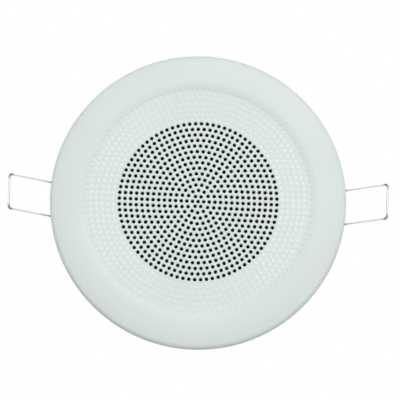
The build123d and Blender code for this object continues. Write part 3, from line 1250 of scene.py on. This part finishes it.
def terminalStrip():
    t = terminal
    near, far = driver["boardNear"], driver["boardFar"]
    middle = (near + far) / 2
    high = t["boardZ"] + t["boardThick"]
    outline = rounded(box(-t["boardHalf"], near, t["boardHalf"], far), t["boardCorner"], 4, True)
    strip = solid("terminal_board", prism(outline, t["boardZ"], high, upright), bevel=t["boardEdge"])
    dressed(strip, board, "frame", ["terminal_strip"])
    dome = rounded(raised(t["rivet"], high), t["rivetEdge"])
    rivet = solid("strip_rivet", stood(dome, smallSteps, 0, middle))
    dressed(rivet, tinned, "frame")
    tags = solid("solder_tags", *[tagShape(side * t["tagX"], high) for side in bothSides])
    plug = box(0, high - 1, t["tagHoleR"], high + 2)  # longer than the tag is thick
    holes = [solid("tagHole", stood(plug, 24, side * t["tagX"], t["tagHole"])) for side in bothSides]
    combined(tags, "DIFFERENCE", *holes)
    dressed(tags, tinned, "frame", ["terminal_tags"])
    lip = raised(t["eyelet"], high + t["tagThick"])
    eyelets = solid("tag_eyelets", *[stood(lip, smallSteps, side * t["tagX"], middle) for side in bothSides])
    dressed(eyelets, tinned, "frame", sharp=40)


def tagShape(x, low):  # a flat tag, waisted outside the board
    t = terminal
    half = t["tagHalf"]
    waist = driver["boardFar"] + t["waistPast"]
    right = [
        (half, t["tagNear"]),
        (half, waist - t["waistTaper"]),
        (t["waistHalf"], waist),
        (half, t["tagHole"] - t["eyeFoot"]),
        (half, t["tagFar"]),
    ]
    left = [(-u, v) for u, v in right[::-1]]
    outline = rounded([(x + u, v) for u, v in right + left], t["tagCorner"], 3, True)
    return prism(outline, low, low + t["tagThick"], upright)


lead = {
    "radius": 0.5,
    "start": (9.0, 37.6, 28.5),
    "drop": [
        (9.0, 37.4, 25.2),
        (9.0, 35.6, 21.4),
        (9.0, 31.6, 19.6),
        (9.0, 27.0, 20.0),
        (9.0, 23.6, 19.2),
    ],
    "end": (9.0, 22.15, 15.5),
    "sides": 10,
    "solder": [(0, -0.15), (1.7, -0.15), (1.55, 0.25), (0.95, 0.75), (0, 0.95)],  # over the tag
    "cement": [(0, 0), (1.9, 0), (1.6, 0.5), (0.8, 0.95), (0, 1.05)],
    "cementLift": 0.45,  # over the cone's front
    "dropEdge": 0.6,
    "dropSteps": 28,
}


def tinselLead(side, name, node):
    points = [(side * x, y, z) for x, y, z in (lead["start"], *lead["drop"], lead["end"])]
    curve = bpy.data.curves.new(name + "Route", "CURVE")
    curve.dimensions = "3D"
    spline = curve.splines.new("NURBS")
    spline.points.add(len(points) - 1)
    for place, p in zip(spline.points, points):
        place.co = (*p, 1)
    spline.order_u = 3
    spline.use_endpoint_u = True
    spline.resolution_u = 8
    route = linked(name + "Route", curve)
    path = [tuple(v.co) for v in settled(route).vertices]
    bpy.data.objects.remove(route)
    obj, along = tube(name, path, lead["radius"], lead["sides"])
    dressed(obj, braid, nodes=[node], sharp=60)
    return bent(obj, eased(along, 0, along[-1]))


def solderJoints():
    t = terminal
    high = t["boardZ"] + t["boardThick"] + t["tagThick"]
    drop = rounded(raised(lead["solder"], high), lead["dropEdge"])
    spot = rounded(lead["cement"], lead["dropEdge"])
    blobs = []
    glue = []
    for side in bothSides:
        blobs.append(stood(drop, lead["dropSteps"], side * t["tagX"], lead["start"][1]))
        verts, faces = stood(spot, lead["dropSteps"], side * lead["end"][0], lead["end"][1])
        placed = []
        for x, y, z in verts:
            ground = coneHeight(math.hypot(x, y) / mm) + lead["cementLift"]
            placed.append((x, y, z + ground * mm))
        glue.append((placed, faces))
    dressed(solid("tag_solder", *blobs), solder, "frame", sharp=50)
    dressed(solid("lead_cement", *glue), rubber, "moving_cone", sharp=50)


head = {
    "profile": [(0, 0), (4.1, 0), (4.1, 0.5), (3.3, 0.6), (3.25, 1.5), (2.6, 2.2), (1.4, 2.5), (0, 2.55)],
    "edge": 0.3,
    "crossTurns": (20, 110),
    "crossLong": 1.7,
    "crossHalf": 0.35,
    "crossFloor": 1.3,
    "crossTop": 4.0,
}
screws = {
    "Count": 4,
    "Reach": 61.0 * mm,
    "Height": 5.2 * mm,
    "Start": math.radians(45),
    "Twist": 2.3,  # turns each cross differently
    "Weld": 0.0001 * mm,
    "Finish": zinc.material,
}


def screwHead():  # pan head with a cross recess, on a pressed washer
    h = head
    obj = solid("screwHead", spun(rounded(h["profile"], h["edge"]), smallSteps))
    slot = box(-h["crossLong"], -h["crossHalf"], h["crossLong"], h["crossHalf"])
    cuts = []
    for turn in h["crossTurns"]:
        outline = turned(slot, math.radians(turn))
        cuts.append(solid("cross", prism(outline, h["crossFloor"], h["crossTop"], upright)))
    return combined(obj, "DIFFERENCE", *cuts)


def driverScrews():
    one = screwHead()
    g = Grower("driverScrews", {**screws, "Head": one})
    index = g.node("GeometryNodeInputIndex")
    angle = index * (2 * math.pi) / g.given("Count") + g.given("Start")
    points = g.points(g.given("Count"), g.given("Reach"), angle, g.given("Height"))
    shape = g.node("GeometryNodeObjectInfo", sockets={"Object": g.given("Head")}, output="Geometry")
    spread = g.spread(points, shape, Rotation=g.turn(angle * g.given("Twist")))
    mesh = g.grow("driverScrews", spread)
    bpy.data.objects.remove(one)
    return dressed(linked("driver_screws", mesh), zinc, "frame")


print("driver")
pressedBasket()
surroundRoll()
paperCone()
domeCap()
corrugatedSpider()
motorParts()
terminalStrip()
tinselLead(1, "tinsel_lead_right", "lead_right")
tinselLead(-1, "tinsel_lead_left", "lead_left")
solderJoints()
driverScrews()

for node, finish in (("basket_gasket", foam), ("coil_former", kraft), ("voice_coil", copper)):
    shown = frame["nodes"][node]
    shown.data.materials.clear()
    shown.data.materials.append(finish.material)


# stage: white surroundings, a floor far below, and soft lamps below and above

stage = {
    "floorZ": -4.2,  # the stage is in metres
    "floorSize": 16.0,
    "floorPaper": 0.88,
    "floorWhite": 0.96,  # the rest shows the object's shadow
    "surround": 0.43,  # light from all round
    "horizon": 0.8,  # darkest there
    "poles": 0.4,
    "fromRight": 0.18,  # brighter from +X and -Y
    "fromFront": 0.24,
    "lamps": {  # place, size and power
        "front": ((0.0, -0.3, -2.6), 3.2, 34.3),
        "key": ((0.7, -1.2, -2.0), 1.0, 10.0),
        "backRight": ((1.5, -0.8, 2.0), 2.4, 20.0),
        "backLeft": ((-1.5, -0.8, 2.0), 2.4, 20.0),
    },
}


def seen(tree):  # 1 to the camera, in reflections and through glass
    path = tree.node("ShaderNodeLightPath", output="Is Camera Ray")
    mirrored = path.math("MAXIMUM", path.also("Is Glossy Ray"))
    return mirrored.math("MAXIMUM", path.also("Is Transmission Ray"))


def surroundings():
    world = bpy.data.worlds.new("surroundings")
    bpy.context.scene.world = world
    world.use_nodes = True
    tree = Tree(world.node_tree)
    light = next(n for n in world.node_tree.nodes if n.type == "BACKGROUND")
    light.inputs["Color"].default_value = (1, 1, 1, 1)
    towards = tree.node("ShaderNodeTexCoord", output="Generated")
    way = tree.node("ShaderNodeSeparateXYZ", sockets={"Vector": towards})
    level = way.also("Z").math("ABSOLUTE") * stage["poles"] + stage["horizon"]
    level = way * stage["fromRight"] - way.also("Y") * stage["fromFront"] + level
    lit = level * stage["surround"]
    tree.plug(light.inputs["Strength"], seen(tree) * (1 - lit) + lit)


def floor():
    half = stage["floorSize"] / 2
    mesh = bpy.data.meshes.new("floor")
    corners = [(x, y, stage["floorZ"]) for x, y in box(-half, -half, half, half)]
    mesh.from_pydata(corners, [], [(0, 1, 2, 3)])
    obj = linked("floor", mesh)
    f = Finish("floor")
    paper = f.node("ShaderNodeBsdfDiffuse", sockets={"Color": (*[stage["floorPaper"]] * 3, 1)})
    white = f.node("ShaderNodeEmission", sockets={"Color": (1, 1, 1, 1)})
    sockets = {0: seen(f) * stage["floorWhite"], 1: paper, 2: white}
    f.plug(f.end.inputs["Surface"], f.node("ShaderNodeMixShader", sockets=sockets))
    f.nodeTree.nodes.remove(f.shader)
    mesh.materials.append(f.material)


def lamp(name, place, size, power):
    light = bpy.data.lights.new(name, "AREA")
    light.size = size
    light.energy = power
    obj = linked(name, light)
    obj.location = place
    obj.rotation_euler = (-Vector(place)).to_track_quat("-Z", "Y").to_euler()
    obj.visible_camera = False


view = {
    "tilt": 8.6,  # the camera stands this far towards +Y from straight below
    "roll": 1.6,
    "distance": 3.0,  # metres
    "frameWidth": 243.1,  # mm across the picture
    "aimRight": 1.13,
    "aimUp": 1.755,
    "sensor": 36.0,
    "clipEnd": 50.0,  # metres
}


def camera():
    tilt = math.radians(view["tilt"])
    towards = Vector((0, math.sin(tilt), -math.cos(tilt)))
    up = Vector((0, -math.cos(tilt), -math.sin(tilt)))
    right = up.cross(towards)
    turn = Matrix.Rotation(math.radians(view["roll"]), 3, towards)
    aim = (right * view["aimRight"] + up * view["aimUp"]) * mm
    data = bpy.data.cameras.new("camera")
    data.sensor_width = view["sensor"]
    data.lens = view["sensor"] * view["distance"] / (view["frameWidth"] * mm)
    data.clip_end = view["clipEnd"]
    obj = linked("camera", data)
    place = Matrix((turn @ right, turn @ up, towards)).transposed().to_4x4()
    place.translation = aim + towards * view["distance"]
    obj.matrix_world = place
    bpy.context.scene.camera = obj


print("stage")
surroundings()
floor()
for name, (place, size, power) in stage["lamps"].items():
    lamp(name, place, size, power)
camera()
bpy.context.scene.view_settings.view_transform = "Standard"

bpy.context.view_layer.update()
